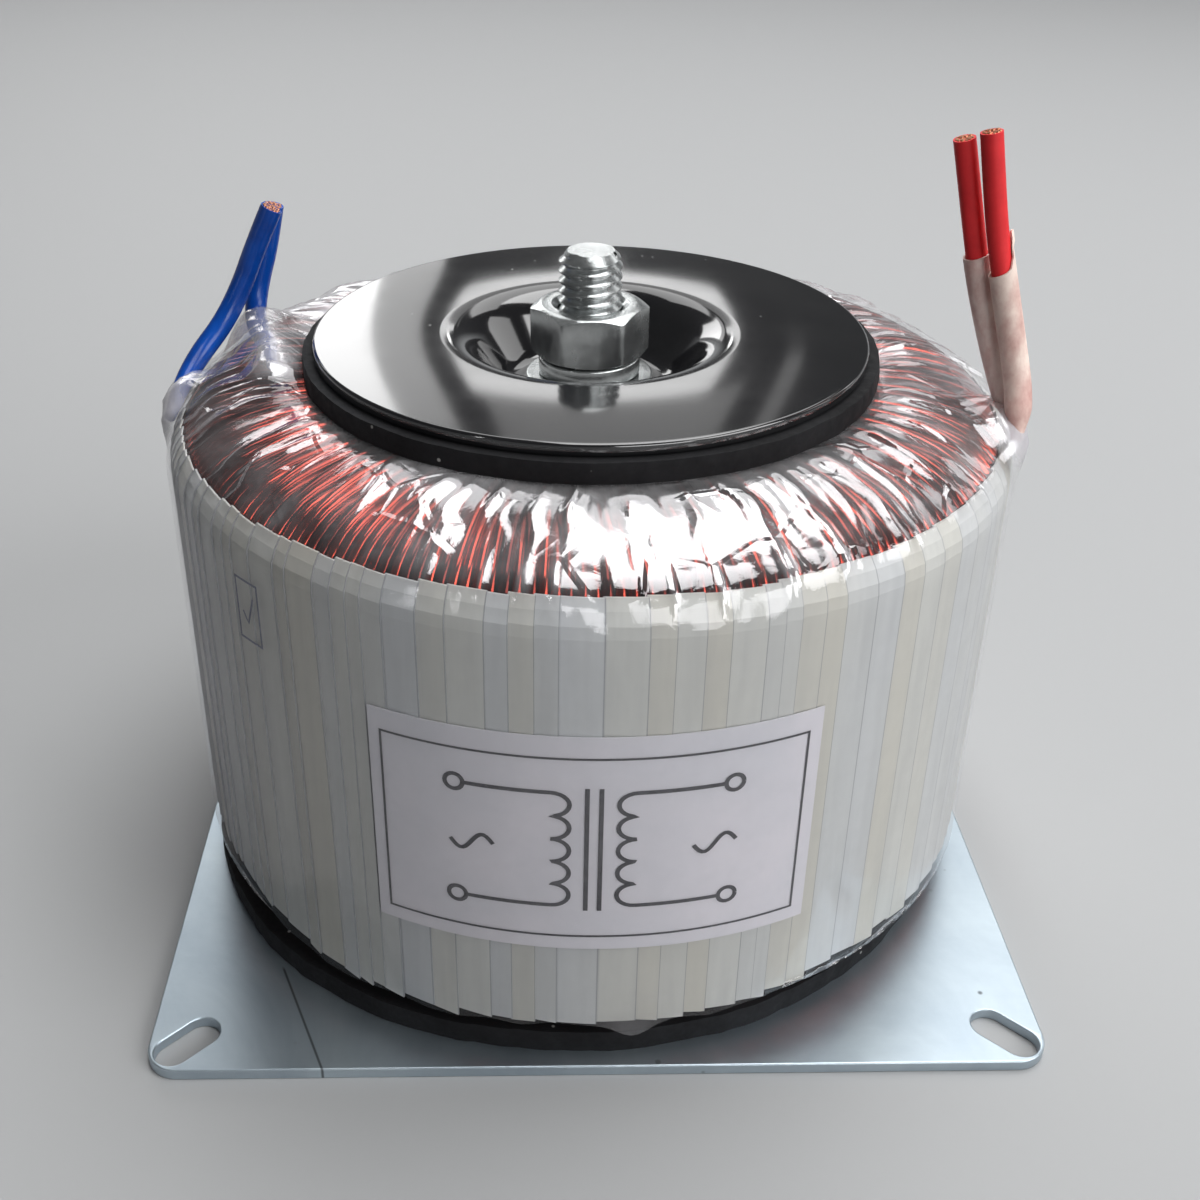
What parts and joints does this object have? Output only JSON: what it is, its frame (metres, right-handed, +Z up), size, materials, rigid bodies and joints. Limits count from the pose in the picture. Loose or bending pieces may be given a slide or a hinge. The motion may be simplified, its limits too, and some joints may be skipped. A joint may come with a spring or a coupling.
{
  "type": "toroidal transformer",
  "caption": "Round mains transformer wound on a ring core, clamped between rubber pads to a slotted square plate by a central bolt, with flying leads.",
  "frame": {"origin": "middle of the base plate's underside, on the axis of the centre bolt", "axes": "+Z up along the centre bolt; -Y towards the label; +X towards the red leads"},
  "size_m": [0.1076, 0.107, 0.0998],
  "materials": {
    "zinc_sheet": "bluish zinc plate, satin, lightly scratched",
    "black_enamel": "black enamel, mirror gloss",
    "zinc_fastener": "bright zinc plate",
    "black_rubber": "matte, hand-cut edges",
    "core_steel": "silicon steel strip, wound",
    "polyester_film": "wrapped polyester film",
    "enamelled_wire": "copper under wine-red enamel, gloss",
    "milky_film": "overlapped milky film strips",
    "label_paper": "smooth paper under clear film",
    "blue_pvc": "gloss insulation",
    "red_pvc": "matte insulation",
    "sleeve_film": "whitish pink sleeve"
  },
  "bodies": {
    "root": {"base_plate": "zinc_sheet", "bottom_pad": "black_rubber", "core": "core_steel", "core_wrap": "polyester_film", "primary_winding": "enamelled_wire", "interwinding_film": "polyester_film", "secondary_winding": "enamelled_wire", "side_band": "milky_film", "label": "label_paper", "top_pad": "black_rubber", "top_disc": "black_enamel", "centre_bolt": "zinc_fastener", "flat_washer": "zinc_fastener", "spring_washer": "zinc_fastener", "hex_nut": "zinc_fastener", "blue_lead_front": "blue_pvc", "blue_lead_rear": "blue_pvc", "red_lead_left": "red_pvc", "red_lead_right": "red_pvc", "red_sleeve_left": "sleeve_film", "red_sleeve_right": "sleeve_film"}
  },
  "joints": []
}
